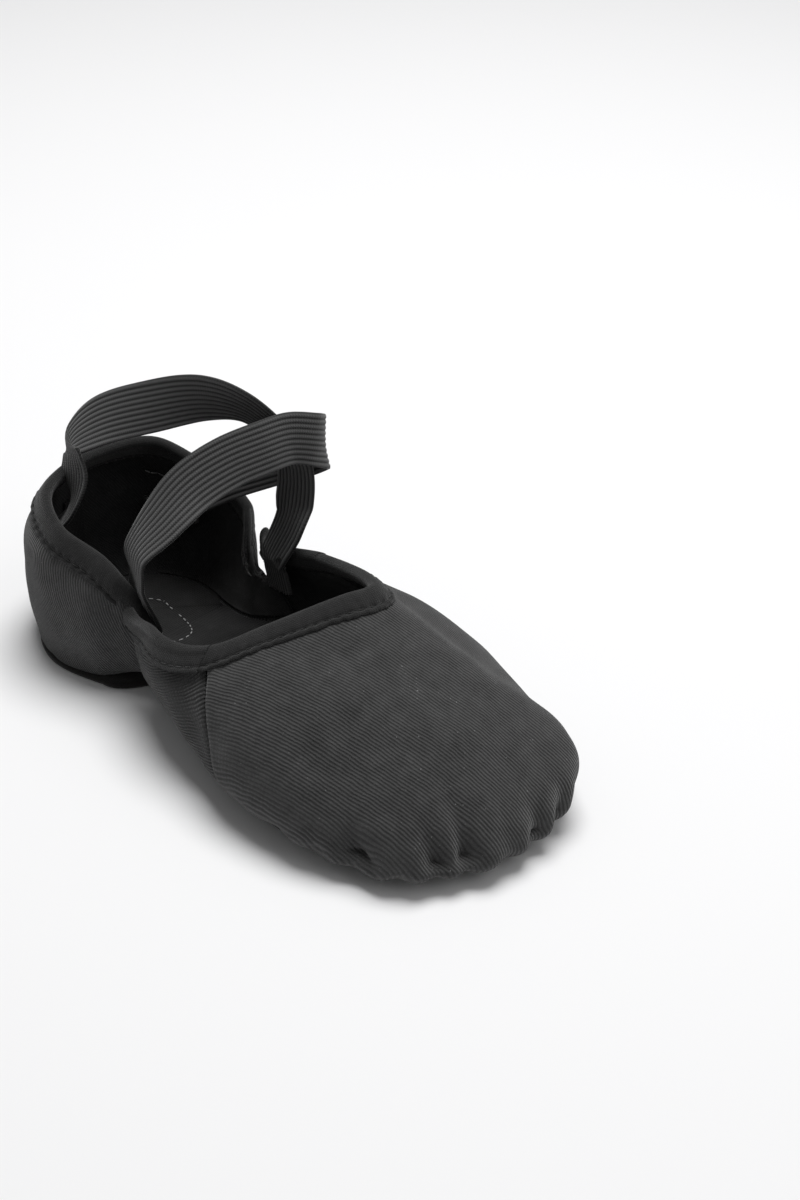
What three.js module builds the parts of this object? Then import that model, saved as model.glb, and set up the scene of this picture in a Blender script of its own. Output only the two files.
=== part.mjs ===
// A soft canvas split-sole ballet slipper for the right foot, standing empty on its two sole patches.
// Millimetres. +X is towards the toe, +Y towards the inner side of the foot, +Z up, the floor is z = 0.
import * as THREE from 'three';

// ---- Driving dimensions -------------------------------------------------------------------------
const LENGTH = 198; // back of the heel to the front of the toe
const WIDTH = 92; // across the ball
const HEEL_HEIGHT = 54; // floor to the topline at the back seam
const CANVAS = 0.9; // outer canvas
const LINING = 0.7; // cotton lining
const SOCK = 1; // sock the foot stands on
const PATCH = 1.3; // leather sole patches
const TURN_UNDER = 10; // canvas turned in under the foot
const TURN_DROP = 0.7; // how far its edge hangs below the sole edge
const TAPE = 0.8; // folded binding tape
const BINDING_DEPTH = 6.5; // how far the tape reaches down from the topline
const CORD = 1.6; // elastic cord inside the binding
const ELASTIC_WIDTH = 16; // crossed elastics, five eighths of an inch
const ELASTIC = 1.3; // their thickness
const ELASTIC_END = 11; // length of each end that is sewn down
const THREAD = 0.4; // thickness of a row of stitches
const THREAD_WIDTH = 0.9;
const TACK = { long: 2.2, inset: 1.6 }; // stitches across an elastic, short of its edges
const LABEL = { long: 24, tall: 14, thick: 0.4 };
const GAP = 0.3; // clearance between pieces that touch
const PLY_GAP = 0.5; // between the canvas and its lining
const EASE = 0.7; // clearance of the folded binding to the wall inside it
const SEWN_CLEARANCE = 2; // from a sewn-down end to the free part of its elastic

const WALL = CANVAS + PLY_GAP + LINING; // outer face of the canvas to the inner face of the lining
const SOCK_INSET = 3.5; // sock edge inside the sole edge
const PATCH_INSET = 1; // patch edge inside the sole edge
const STITCH_INSET = 6; // patch stitching inside the sole edge
const SOLE_LIFT = 2.6; // height of the sole edge where a patch is under it
const SOCK_CLEARANCE = 0.1; // sock above the turned-under canvas
const BINDING_STITCH_DEPTH = BINDING_DEPTH - 1.7;

// ---- The last -----------------------------------------------------------------------------------
// Meridians run up the outside of the slipper, counted from the back seam along the outer side to
// the toe and back along the inner side. Each has a point on the sole edge, the widest line of the
// side, the middle, the shoulder and the topline, drawn for a slipper of LAST size.
const LAST = { length: 198, width: 92, height: 54, patch: 1.3, elastic: 16 };
const MERIDIANS = [
  [[-91, -5, 2.6], [-98, -5, 12], [-99, -5, 28], [-96, -5, 43], [-88, -5, 54]], // back seam
  [[-84, -25, 2.6], [-89, -28, 12], [-90, -28, 28], [-88, -28, 42], [-81, -26, 53]],
  [[-68, -34, 2.6], [-70, -38, 12], [-71, -39, 27], [-70, -38, 40], [-65, -34, 49]],
  [[-50, -31, 2.6], [-50, -36, 12], [-50, -38, 26], [-50, -36, 36], [-48, -31, 44]],
  [[-36, -24, 6], [-35, -28, 13], [-35, -30, 23], [-34, -30, 31], [-33, -31, 38]], // outer waist
  [[-20, -27, 8.5], [-20, -34, 13], [-17, -39, 22], [-14, -40, 30], [-12, -38, 37]],
  [[6, -34, 6], [6, -43, 13], [7, -45, 23], [6, -42, 32], [4, -34, 40]],
  [[34, -40, 2.8], [35, -48, 11], [34, -47, 23], [27, -38, 36], [14, -20, 46]], // outer ball
  [[62, -37, 2.6], [66, -44, 9], [61, -41, 22], [47, -26, 37], [21, -6, 50]],
  [[80, -24, 2.6], [90, -29, 8], [82, -27, 21], [61, -14, 36], [25, 2, 52]],
  [[88, 2, 2.6], [99, 3, 8], [92, 3, 20], [68, 3, 35], [27, 9, 52]], // toe
  [[83, 23, 2.6], [92, 28, 10], [89, 29, 22], [64, 20, 36], [25, 14, 51]],
  [[65, 35, 2.6], [71, 41, 12], [67, 37, 22.5], [50, 26, 35], [18, 18, 49]],
  [[37, 39, 2.8], [38, 45, 12], [38, 43, 23.5], [31, 34, 36], [8, 21, 46]], // inner ball
  [[6, 32, 6], [6, 39, 13], [6, 39, 23], [3, 33, 32], [-7, 23, 42]],
  [[-20, 25, 8.5], [-20, 29, 13], [-22, 29, 22], [-24, 26, 30], [-25, 22.5, 37]],
  [[-36, 20, 6], [-36, 23, 13], [-37, 25, 23], [-37, 26, 31], [-38, 27, 38]], // inner waist
  [[-50, 23, 2.6], [-51, 28, 12], [-52, 30, 26], [-52, 30, 36], [-52, 28, 44]],
  [[-68, 25, 2.6], [-71, 31, 12], [-72, 33, 27], [-72, 32, 40], [-70, 26, 49]],
  [[-84, 15, 2.6], [-91, 19, 12], [-92, 20, 28], [-91, 20, 42], [-84, 18, 53]],
];
const TURNS = MERIDIANS.length; // u runs from 0 to TURNS once round the slipper
const TOE = TURNS / 2;
const SOLE = 1; // v of the sole edge; v = 0 is the edge of the turned-under canvas
const TOP = 5; // v of the topline

function onLast([x, y, z]) {
  const stretch = (HEEL_HEIGHT - SOLE_LIFT) / (LAST.height - SOLE_LIFT);
  const height = z <= SOLE_LIFT ? z : SOLE_LIFT + (z - SOLE_LIFT) * stretch;
  return new THREE.Vector3((x * LENGTH) / LAST.length, (y * WIDTH) / LAST.width, height + PATCH - LAST.patch);
}

function catmullRom(p0, p1, p2, p3, t) {
  const along = (k) => 0.5 * (2 * p1[k] + (p2[k] - p0[k]) * t
    + (2 * p0[k] - 5 * p1[k] + 4 * p2[k] - p3[k]) * t * t
    + (3 * p1[k] - p0[k] - 3 * p2[k] + p3[k]) * t * t * t);
  return new THREE.Vector3(along('x'), along('y'), along('z'));
}

function roundRing(ring, u) {
  const i = Math.floor(u);
  const at = (k) => ring[(((i + k) % TURNS) + TURNS) % TURNS];
  return catmullRom(at(-1), at(0), at(1), at(2), u - i);
}

function alongLine(points, v) {
  const last = points.length - 1;
  const i = Math.min(Math.max(Math.floor(v), 0), last - 1);
  const before = i > 0 ? points[i - 1] : points[0].clone().multiplyScalar(2).sub(points[1]);
  const after = i + 2 <= last ? points[i + 2] : points[last].clone().multiplyScalar(2).sub(points[last - 1]);
  return catmullRom(before, points[i], points[i + 1], after, v - i);
}

// Horizontal direction from a ring towards the inside of the slipper.
function inward(ring, u) {
  const step = roundRing(ring, u + 0.02).sub(roundRing(ring, u - 0.02));
  return new THREE.Vector3(-step.y, step.x, 0).normalize();
}

const outline = [0, 1, 2, 3, 4].map((k) => MERIDIANS.map((meridian) => onLast(meridian[k])));
const soleRing = outline[0];
const turnedEdge = soleRing.map((point, u) => {
  const edge = point.clone().addScaledVector(inward(soleRing, u), TURN_UNDER);
  edge.z -= TURN_DROP;
  return edge;
});
const rings = [turnedEdge, ...outline];

const surface = (u, v) => alongLine(rings.map((ring) => roundRing(ring, u)), v);

function outward(u, v) {
  const e = 0.02;
  const low = Math.max(v - e, 0);
  const high = Math.min(v + e, TOP);
  const round = surface(u + e, v).sub(surface(u - e, v));
  const up = surface(u, high).sub(surface(u, low));
  return round.cross(up).normalize();
}

// A point at a depth under the outer face of the canvas, positive towards the foot.
const layer = (u, v, depth) => surface(u, v).addScaledVector(outward(u, v), -depth);

// v of the line that lies a distance below the topline.
function belowTop(u, distance) {
  const step = 0.02;
  let v = TOP;
  let travelled = 0;
  let last = 0;
  let point = surface(u, v);
  while (travelled < distance) {
    v -= step;
    const next = surface(u, v);
    last = next.distanceTo(point);
    travelled += last;
    point = next;
  }
  return v + (step * (travelled - distance)) / last;
}

// ---- Solids -------------------------------------------------------------------------------------
// A solid swept through stations. Each station holds two rows of points, its outer and inner face.
function band(stations, closed = false) {
  const n = stations[0].outer.length;
  const loops = stations.map(({ outer, inner }) => [...outer, ...inner.slice().reverse()]);
  const size = 2 * n;
  const index = [];
  const quad = (a, b, c, d) => index.push(a, b, c, a, c, d);
  const steps = closed ? loops.length : loops.length - 1;
  for (let i = 0; i < steps; i += 1) {
    const here = i * size;
    const next = ((i + 1) % loops.length) * size;
    for (let k = 0; k < size; k += 1) {
      const l = (k + 1) % size;
      quad(here + k, here + l, next + l, next + k);
    }
  }
  if (!closed) {
    const far = (loops.length - 1) * size;
    for (let k = 0; k < n - 1; k += 1) {
      quad(k, size - 1 - k, size - 2 - k, k + 1);
      quad(far + k, far + k + 1, far + size - 2 - k, far + size - 1 - k);
    }
  }
  const points = loops.flat();
  let volume = 0;
  for (let i = 0; i < index.length; i += 3) {
    const [a, b, c] = [points[index[i]], points[index[i + 1]], points[index[i + 2]]];
    volume += a.dot(b.clone().cross(c));
  }
  if (volume < 0) index.reverse();
  const geometry = new THREE.BufferGeometry();
  geometry.setAttribute('position', new THREE.Float32BufferAttribute(points.flatMap((p) => p.toArray()), 3));
  geometry.setIndex(index);
  geometry.computeVertexNormals();
  return geometry;
}

function steps(from, to, count) {
  return Array.from({ length: count + 1 }, (_, i) => from + ((to - from) * i) / count);
}

// A layer of the upper between two seams, over the heights in rows.
function panel(seamA, seamB, rows, depth, thickness, count) {
  return band(steps(0, 1, count).map((s) => {
    const at = (v, d) => layer(THREE.MathUtils.lerp(seamA(v), seamB(v), s), v, d);
    return { outer: rows.map((v) => at(v, depth)), inner: rows.map((v) => at(v, depth + thickness)) };
  }));
}

// The folded binding over the topline: a U that straddles canvas and lining.
function bindingStation(u) {
  const near = EASE;
  const far = EASE + TAPE;
  const crown = surface(u, TOP);
  const rise = crown.clone().sub(surface(u, TOP - 0.1)).normalize();
  const middle = crown.clone().addScaledVector(outward(u, TOP), -WALL / 2);
  const top = (height) => middle.clone().addScaledVector(rise, height);
  const heights = [belowTop(u, BINDING_DEPTH), belowTop(u, BINDING_DEPTH / 2), TOP];
  const roof = GAP + CORD + GAP;
  const shoulder = (depth, height) => layer(u, TOP, depth).addScaledVector(rise, height);
  const inside = [
    ...heights.map((v) => layer(u, v, -near)), shoulder(0.2, roof * 0.8), top(roof),
    shoulder(WALL - 0.2, roof * 0.8), ...heights.slice().reverse().map((v) => layer(u, v, WALL + near)),
  ];
  const outside = [
    ...heights.map((v) => layer(u, v, -far)), shoulder(-0.6, roof * 0.8 + 0.5), top(roof + TAPE),
    shoulder(WALL + 0.6, roof * 0.8 + 0.5), ...heights.slice().reverse().map((v) => layer(u, v, WALL + far)),
  ];
  return { outer: outside, inner: inside };
}

function cordStation(u) {
  const crown = surface(u, TOP);
  const rise = crown.clone().sub(surface(u, TOP - 0.1)).normalize();
  const side = outward(u, TOP);
  const middle = crown.addScaledVector(side, -WALL / 2).addScaledVector(rise, GAP + CORD / 2);
  const at = (angle) => middle.clone()
    .addScaledVector(side, (Math.cos(angle) * CORD) / 2)
    .addScaledVector(rise, (Math.sin(angle) * CORD) / 2);
  const outer = [0, 1, 2, 3].map((k) => at((k * Math.PI) / 4));
  const inner = [7, 6, 5, 4].map((k) => at((k * Math.PI) / 4));
  return { outer, inner };
}

function bindingStitchStation(u) {
  const face = -(EASE + TAPE + GAP);
  const rows = [BINDING_STITCH_DEPTH - THREAD_WIDTH / 2, BINDING_STITCH_DEPTH + THREAD_WIDTH / 2];
  const heights = rows.map((distance) => belowTop(u, distance));
  const row = (depth) => heights.map((v) => layer(u, v, depth));
  return { outer: row(face - THREAD), inner: row(face) };
}

const ringOffset = (u, inset, z) => {
  const point = roundRing(soleRing, u).addScaledVector(inward(soleRing, u), inset);
  return new THREE.Vector3(point.x, point.y, z ?? point.z);
};

// A flat plate whose outline follows the sole edge from one u to another and closes with a round end.
function plateOutline(from, to, inset, reach, count) {
  const points = steps(from, to, count).map((u) => ringOffset(u, inset, 0));
  const a = points[points.length - 1];
  const b = points[0];
  const middle = a.clone().add(b).multiplyScalar(0.5);
  const half = a.clone().sub(b).multiplyScalar(0.5);
  const end = Array.from({ length: 9 }, (_, i) => (Math.PI * (i + 1)) / 10).map((angle) => middle.clone()
    .addScaledVector(half, Math.cos(angle)).add(new THREE.Vector3(reach * Math.sin(angle), 0, 0)));
  return [...points, ...end];
}

function plate(points, bottom, thickness) {
  const shape = new THREE.Shape(points.map((p) => new THREE.Vector2(p.x, p.y)));
  const geometry = new THREE.ExtrudeGeometry(shape, { depth: thickness, bevelEnabled: false });
  geometry.translate(0, 0, bottom);
  return geometry;
}

// A closed row of stitches lying on a plate.
function stitchLoop(points, bottom) {
  const centre = points.reduce((sum, p) => sum.add(p), new THREE.Vector3()).divideScalar(points.length);
  const shift = (p, d, z) => {
    const flat = p.clone().addScaledVector(centre.clone().sub(p).normalize(), d);
    return new THREE.Vector3(flat.x, flat.y, z);
  };
  return band(points.map((p) => ({
    outer: [shift(p, 0, bottom), shift(p, THREAD_WIDTH, bottom)],
    inner: [shift(p, 0, bottom + THREAD), shift(p, THREAD_WIDTH, bottom + THREAD)],
  })), true);
}

// ---- Seams --------------------------------------------------------------------------------------
// Each seam leans forward as it goes down. The inner side mirrors the outer one.
const JOIN = 0.008; // half the gap of a seam, in u
const vampSeam = (v) => 6.05 + (TOP - v) * 0.18;
const quarterSeam = (v) => 4.15 + (TOP - v) * 0.19;
const mirrored = (seam) => (v) => TURNS - seam(v);
const after = (seam) => (v) => seam(v) + JOIN;
const before = (seam) => (v) => seam(v) - JOIN;
const backSeam = (turn) => () => turn;
const VAMP_STEPS = 24; // stations in each panel
const ARCH_STEPS = 8;
const HEEL_STEPS = 13;
const canvasRows = [0, 0.5, SOLE, 1.35, 1.7, 2, 2.5, 3, 3.5, 4, 4.25, 4.5, 4.75, TOP];
const liningRows = canvasRows.slice(3);

// ---- Crossed elastics ---------------------------------------------------------------------------
// An end sewn flat inside the wall: its middle, its direction of travel and its width direction.
// A flat end stands off the hollow of the wall by its room, which a wider elastic needs more of.
function sewnEnd(u, v, travel, room = 2.6) {
  const normal = outward(u, v).negate();
  const hollow = room * (ELASTIC_WIDTH / LAST.elastic) ** 2;
  const middle = layer(u, v, WALL + GAP + hollow + ELASTIC / 2);
  const forward = new THREE.Vector3(...travel);
  forward.addScaledVector(normal, -forward.dot(normal)).normalize();
  return { middle, forward, normal, across: forward.clone().cross(normal) };
}

function slab({ middle, forward, normal, across }, length, width, thickness, lift = 0) {
  const at = (a, b, c) => middle.clone().addScaledVector(forward, a).addScaledVector(across, b)
    .addScaledVector(normal, c + lift);
  const station = (a) => ({
    outer: [at(a, -width / 2, thickness / 2), at(a, width / 2, thickness / 2)],
    inner: [at(a, -width / 2, -thickness / 2), at(a, width / 2, -thickness / 2)],
  });
  return band([station(-length / 2), station(length / 2)]);
}

// Route of a free elastic: hand-placed points with the direction from its lower to its upper edge.
function freeElastic(start, finish, route) {
  const reach = ELASTIC_END / 2 + SEWN_CLEARANCE;
  const leave = (end, sign) => ({
    point: end.middle.clone().addScaledVector(end.forward, reach),
    edge: end.across.clone().multiplyScalar(sign),
  });
  const middle = route.map(([place, edge]) => ({ point: onLast(place), edge: new THREE.Vector3(...edge) }));
  const firstSign = Math.sign(start.across.dot(middle[0].edge));
  const lastSign = Math.sign(finish.across.dot(middle[middle.length - 1].edge));
  const nodes = [leave(start, firstSign), ...middle, leave(finish, lastSign)];
  const points = nodes.map((node) => node.point);
  const edges = nodes.map((node) => node.edge);
  const last = nodes.length - 1;
  return band(steps(0, last, 3 * last).map((t) => {
    const point = alongLine(points, t);
    const travel = alongLine(points, Math.min(t + 0.02, last)).sub(alongLine(points, Math.max(t - 0.02, 0)));
    const edge = alongLine(edges, t);
    travel.normalize();
    edge.addScaledVector(travel, -edge.dot(travel)).normalize();
    const face = travel.clone().cross(edge);
    const at = (a, b) => point.clone().addScaledVector(edge, (a * ELASTIC_WIDTH) / 2)
      .addScaledVector(face, (b * ELASTIC) / 2);
    return { outer: [at(-1, 1), at(1, 1)], inner: [at(-1, -1), at(1, -1)] };
  }));
}

const UNDER_ROUTE = [
  [[-83.5, -17.5, 40], [-0.4, 0.9, 0]],
  [[-78, -17.5, 48], [-0.4, 0.9, 0.05]],
  [[-77, -16.5, 57], [-0.5, 0.82, 0.15]],
  [[-79, -12.5, 66], [-0.68, 0.6, 0.35]],
  [[-74, -6.5, 73.5], [-0.68, 0.3, 0.65]],
  [[-62, 2, 79.5], [-0.45, 0.08, 0.88]],
  [[-49, 12, 84], [0, -0.09, 0.99]],
  [[-38, 19.5, 82.5], [0.42, -0.26, 0.87]],
  [[-29, 25, 75], [0.7, -0.2, 0.68]],
  [[-24, 27.5, 65], [0.85, 0, 0.52]],
  [[-22, 25.5, 54], [0.88, 0.1, 0.44]],
  [[-24, 18.5, 45], [0.92, -0.05, 0.35]],
  [[-26, 15.5, 37], [0.96, -0.15, 0.2]],
  [[-26.5, 16, 30], [0.98, -0.1, 0.1]],
];
const OVER_ROUTE = [
  [[-35, -22.5, 40], [-0.96, 0.1, -0.28]],
  [[-36, -23.5, 50], [-0.94, 0.1, -0.3]],
  [[-33, -18, 61], [-0.98, -0.14, 0]],
  [[-29.5, -9, 70], [-0.78, -0.18, 0.58]],
  [[-25, 1, 76], [-0.54, -0.18, 0.82]],
  [[-20.5, 12, 79], [-0.38, -0.12, 0.92]],
  [[-16, 23, 79], [-0.26, -0.03, 0.97]],
  [[-12.5, 31.5, 77], [-0.15, 0.05, 0.98]],
  [[-16, 37, 72.5], [-0.12, 0.03, 0.99]],
  [[-27, 34.5, 65.5], [-0.2, 0, 0.98]],
  [[-39, 28.5, 59], [-0.3, 0, 0.95]],
  [[-49.5, 20.5, 53], [-0.4, 0, 0.92]],
  [[-58.5, 16.5, 46], [-0.45, 0, 0.9]],
  [[-66.5, 17.5, 39.5], [-0.48, 0, 0.88]],
];

// ---- Assembly -----------------------------------------------------------------------------------
const canvasBlack = { color: 0x2b2b2d, roughness: 0.95, metalness: 0 };
const bindingBlack = { color: 0x252527, roughness: 0.9, metalness: 0 };
const liningBlack = { color: 0x18181a, roughness: 0.95, metalness: 0 };
const elasticBlack = { color: 0x37373a, roughness: 0.85, metalness: 0 };
const leatherBlack = { color: 0x1e1d1c, roughness: 0.7, metalness: 0 };
const threadBlack = { color: 0x3b3b3e, roughness: 0.8, metalness: 0 };
const paleThread = { color: 0x9a9a9c, roughness: 0.8, metalness: 0 };
const satinWhite = { color: 0xe4e4e6, roughness: 0.45, metalness: 0 };

const slipper = new THREE.Group();
function add(name, geometry, material) {
  const mesh = new THREE.Mesh(geometry, new THREE.MeshStandardMaterial(material));
  mesh.name = name;
  slipper.add(mesh);
}

// Upper
const outerVamp = after(vampSeam);
const innerVamp = before(mirrored(vampSeam));
const outerArch = [after(quarterSeam), before(vampSeam)];
const innerArch = [after(mirrored(vampSeam)), before(mirrored(quarterSeam))];
const outerQuarter = [backSeam(JOIN), before(quarterSeam)];
const innerQuarter = [after(mirrored(quarterSeam)), backSeam(TURNS - JOIN)];
add('vamp_canvas', panel(outerVamp, innerVamp, canvasRows, 0, CANVAS, VAMP_STEPS), canvasBlack);
add('arch_panel_outer', panel(...outerArch, canvasRows, 0, CANVAS, ARCH_STEPS), canvasBlack);
add('arch_panel_inner', panel(...innerArch, canvasRows, 0, CANVAS, ARCH_STEPS), canvasBlack);
add('heel_quarter_outer', panel(...outerQuarter, canvasRows, 0, CANVAS, HEEL_STEPS), canvasBlack);
add('heel_quarter_inner', panel(...innerQuarter, canvasRows, 0, CANVAS, HEEL_STEPS), canvasBlack);

const liningDepth = CANVAS + PLY_GAP;
add('vamp_lining', panel(outerVamp, innerVamp, liningRows, liningDepth, LINING, VAMP_STEPS), liningBlack);
add('arch_lining_outer', panel(...outerArch, liningRows, liningDepth, LINING, ARCH_STEPS), liningBlack);
add('arch_lining_inner', panel(...innerArch, liningRows, liningDepth, LINING, ARCH_STEPS), liningBlack);
add('heel_lining_outer', panel(...outerQuarter, liningRows, liningDepth, LINING, HEEL_STEPS), liningBlack);
add('heel_lining_inner', panel(...innerQuarter, liningRows, liningDepth, LINING, HEEL_STEPS), liningBlack);

// Tape that covers the back seam inside, below the binding
const seamTape = { rows: [1.7, 2, 2.5, 3, 3.5], half: 0.17, depth: WALL + 2 * GAP };
const tapeSides = [backSeam(-seamTape.half), backSeam(seamTape.half)];
add('back_seam_tape', panel(...tapeSides, seamTape.rows, seamTape.depth, TAPE, 4), bindingBlack);

// Binding, the cord inside it and its stitching, in the stretches that the arch divides
const along = ([from, to], count) => steps(from(TOP), to(TOP), count);
const topline = {
  throat: along([outerVamp, innerVamp], VAMP_STEPS),
  waist_inner: along(innerArch, ARCH_STEPS),
  heel: [...along(innerQuarter, HEEL_STEPS), ...along(outerQuarter, HEEL_STEPS).map((u) => u + TURNS)],
  waist_outer: along(outerArch, ARCH_STEPS),
};
for (const [stretch, stations] of Object.entries(topline)) {
  add(`${stretch}_binding`, band(stations.map(bindingStation)), bindingBlack);
  add(`${stretch}_cord`, band(stations.map(cordStation)), elasticBlack);
  add(`${stretch}_stitching`, band(stations.map(bindingStitchStation)), threadBlack);
}

// Sole patches, the sock above them and the stitching that shows inside
// Each patch runs from one u to another round the end of the slipper. Its round end reaches towards the arch.
const FOREFOOT = { from: 7.1, to: 12.9, reach: -26, stitchReach: -4, sock: 6.85, sockReach: -1 };
const HEEL = { from: 16.9, to: 23.1, reach: 14, stitchReach: 1, sock: 3.05, sockReach: 1 };
const SOCK_BOTTOM = SOLE_LIFT + PATCH - LAST.patch + CANVAS + SOCK_CLEARANCE;
const OUTLINE_STEPS = 30;
const patchOutline = ({ from, to, reach }) => plateOutline(from, to, PATCH_INSET, reach, OUTLINE_STEPS);
const stitchOutline = ({ from, to, stitchReach }) => plateOutline(from, to, STITCH_INSET, stitchReach,
  OUTLINE_STEPS);
const sock = (from, to, reach) => plate(plateOutline(from, to, SOCK_INSET, reach, OUTLINE_STEPS),
  SOCK_BOTTOM, SOCK);
add('forefoot_patch', plate(patchOutline(FOREFOOT), 0, PATCH), leatherBlack);
add('heel_patch', plate(patchOutline(HEEL), 0, PATCH), leatherBlack);
add('forefoot_sock', sock(FOREFOOT.sock, TURNS - FOREFOOT.sock, FOREFOOT.sockReach), liningBlack);
add('heel_sock', sock(TURNS - HEEL.sock, TURNS + HEEL.sock, HEEL.sockReach), liningBlack);
const archSock = steps(HEEL.sock + 0.08, FOREFOOT.sock - 0.06, 16).map((u) => {
  const row = (z) => [0, 0.25, 0.5, 0.75, 1].map((s) => {
    const point = ringOffset(u, SOCK_INSET).lerp(ringOffset(TURNS - u, SOCK_INSET), s);
    return point.setZ(Math.max(point.z + 1, SOCK_BOTTOM) + z);
  });
  return { outer: row(0), inner: row(SOCK) };
});
add('arch_sock', band(archSock), liningBlack);
const stitchBottom = SOCK_BOTTOM + SOCK + GAP;
add('forefoot_patch_stitching', stitchLoop(stitchOutline(FOREFOOT), stitchBottom), paleThread);
add('heel_patch_stitching', stitchLoop(stitchOutline(HEEL), stitchBottom), paleThread);

// Blank care label on the inside of the outer arch
const labelMiddle = { u: 5.45, v: 3.1 };
const nearLabel = (du, dv) => surface(labelMiddle.u + du, labelMiddle.v + dv);
const perU = nearLabel(-0.5, 0).distanceTo(nearLabel(0.5, 0));
const perV = nearLabel(0, -0.5).distanceTo(nearLabel(0, 0.5));
const labelU = LABEL.long / perU / 2;
const labelV = LABEL.tall / perV / 2;
const labelRows = steps(labelMiddle.v - labelV, labelMiddle.v + labelV, 4);
add('care_label', panel(() => labelMiddle.u - labelU, () => labelMiddle.u + labelU, labelRows, WALL + 2 * GAP,
  LABEL.thick, 6), satinWhite);

// Crossed elastics: four ends sewn inside the walls, and the two free loops between them
const ends = {
  under_elastic_rear: sewnEnd(0.65, 2.9, [0.1, 0, 1]),
  under_elastic_front: sewnEnd(TURNS - 4.65, 2.4, [0.1, 0, 1], 4),
  over_elastic_front: sewnEnd(4.1, 2.6, [-0.1, 0, 1], 3),
  over_elastic_rear: sewnEnd(TURNS - 1.5, 2.9, [0.86, 0, 0.5], 3.2),
};
for (const [name, end] of Object.entries(ends)) {
  add(`${name}_end`, slab(end, ELASTIC_END, ELASTIC_WIDTH, ELASTIC), elasticBlack);
  const tack = { ...end, middle: end.middle.clone().addScaledVector(end.forward, ELASTIC_END / 4) };
  const lift = ELASTIC / 2 + GAP + THREAD / 2;
  add(`${name}_tack`, slab(tack, TACK.long, ELASTIC_WIDTH - TACK.inset, THREAD, lift), threadBlack);
}
const under = freeElastic(ends.under_elastic_rear, ends.under_elastic_front, UNDER_ROUTE);
const over = freeElastic(ends.over_elastic_front, ends.over_elastic_rear, OVER_ROUTE);
add('under_elastic', under, elasticBlack);
add('over_elastic', over, elasticBlack);

// The origin is on the floor, under the middle of the whole slipper.
const middle = new THREE.Box3().setFromObject(slipper).getCenter(new THREE.Vector3());
slipper.position.set(-middle.x, -middle.y, 0);

export default slipper;
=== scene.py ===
"""The looks of a soft black canvas ballet slipper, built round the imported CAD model.

Lengths are in millimetres until a mesh is made. +X is towards the toe, +Y towards the inner side.
"""

import math

import bpy
import numpy as np
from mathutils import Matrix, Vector, noise


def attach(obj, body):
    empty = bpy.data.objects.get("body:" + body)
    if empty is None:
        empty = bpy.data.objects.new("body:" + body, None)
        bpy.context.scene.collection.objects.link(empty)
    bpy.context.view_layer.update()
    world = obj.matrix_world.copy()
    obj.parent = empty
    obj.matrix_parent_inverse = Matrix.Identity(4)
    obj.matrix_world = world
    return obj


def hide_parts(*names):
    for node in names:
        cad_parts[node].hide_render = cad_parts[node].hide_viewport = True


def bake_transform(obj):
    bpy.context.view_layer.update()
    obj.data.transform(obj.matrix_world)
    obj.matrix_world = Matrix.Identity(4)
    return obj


MM = 0.001
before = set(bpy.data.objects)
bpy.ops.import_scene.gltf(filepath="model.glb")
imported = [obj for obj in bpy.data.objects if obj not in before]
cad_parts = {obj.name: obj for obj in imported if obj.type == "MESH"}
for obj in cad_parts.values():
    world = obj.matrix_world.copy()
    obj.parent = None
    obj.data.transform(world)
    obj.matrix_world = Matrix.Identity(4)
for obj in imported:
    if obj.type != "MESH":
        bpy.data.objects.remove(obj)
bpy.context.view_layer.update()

# ---- Sizes of the real pieces -------------------------------------------------------------------
CANVAS = 0.9
PLY_GAP = 0.5
LINING = 0.7
WALL = CANVAS + PLY_GAP + LINING
BINDING_DEPTH = 6.5
BINDING_STITCH = 4.8
STITCH_PITCH = 3.1
CORD = 1.6
ELASTIC_WIDTH = 16.0
ELASTIC = 1.3
ELASTIC_END = 11.0
ELASTIC_RIBS = 10
TWILL_PITCH = 0.95
PATCH = 1.3
SOCK = 1.0
SOCK_BOTTOM = 3.6
LAST_OFFSET = np.array([0.066, 1.479, 0.0])  # from the last's own origin to the origin of the frame

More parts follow.
